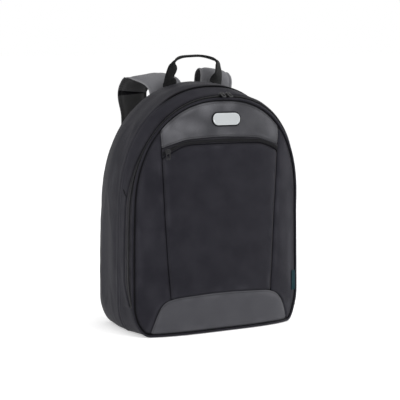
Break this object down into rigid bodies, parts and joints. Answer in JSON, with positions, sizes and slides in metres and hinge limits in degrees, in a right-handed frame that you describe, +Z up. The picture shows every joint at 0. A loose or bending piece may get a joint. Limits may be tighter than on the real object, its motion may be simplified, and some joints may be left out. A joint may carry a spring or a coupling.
{
  "type": "laptop backpack",
  "caption": "Black and grey soft laptop backpack standing on its base, with a domed front, front pocket zip, wrap-round main zip, webbing carry handle and padded shoulder straps.",
  "frame": {"origin": "middle of the flat base on the floor", "axes": "+X to the right as seen from the front, +Y towards the wearer's back, +Z up"},
  "size_m": [0.3242, 0.2545, 0.4594],
  "materials": {
    "black_polyester": "fine weave, slight sheen",
    "grey_polyester": "fine weave, slight sheen",
    "black_trim": "matt",
    "black_webbing": "woven webbing",
    "back_mesh": "matt",
    "strap_grey": "woven, matt",
    "satin_metal": "satin",
    "gunmetal": "semi-gloss",
    "black_plastic": "matt",
    "teal_ribbon": "woven ribbon"
  },
  "bodies": {
    "root": {"back_panel": "back_mesh", "rear_gusset": "black_polyester", "front_gusset": "black_polyester", "base_panel": "black_polyester", "pocket_panel": "black_polyester", "side_panel_left": "black_polyester", "side_panel_right": "black_polyester", "yoke_panel": "grey_polyester", "kick_panel": "grey_polyester", "front_piping": "black_trim", "back_piping": "black_trim", "rear_piping": "black_polyester", "main_zip": "black_trim", "pocket_zip": "black_trim", "zip_slider_1": "gunmetal", "zip_slider_2": "gunmetal", "zip_pull_1": "gunmetal", "zip_pull_2": "gunmetal", "pocket_slider": "gunmetal", "pocket_pull": "gunmetal", "carry_handle": "black_webbing", "strap_left": "strap_grey", "strap_right": "strap_grey", "adjuster_left": "black_plastic", "adjuster_right": "black_plastic", "webbing_left": "black_webbing", "webbing_right": "black_webbing", "anchor_left": "black_webbing", "anchor_right": "black_webbing", "name_plate": "satin_metal", "plate_rim": "black_trim", "label_tab": "teal_ribbon"}
  },
  "joints": []
}
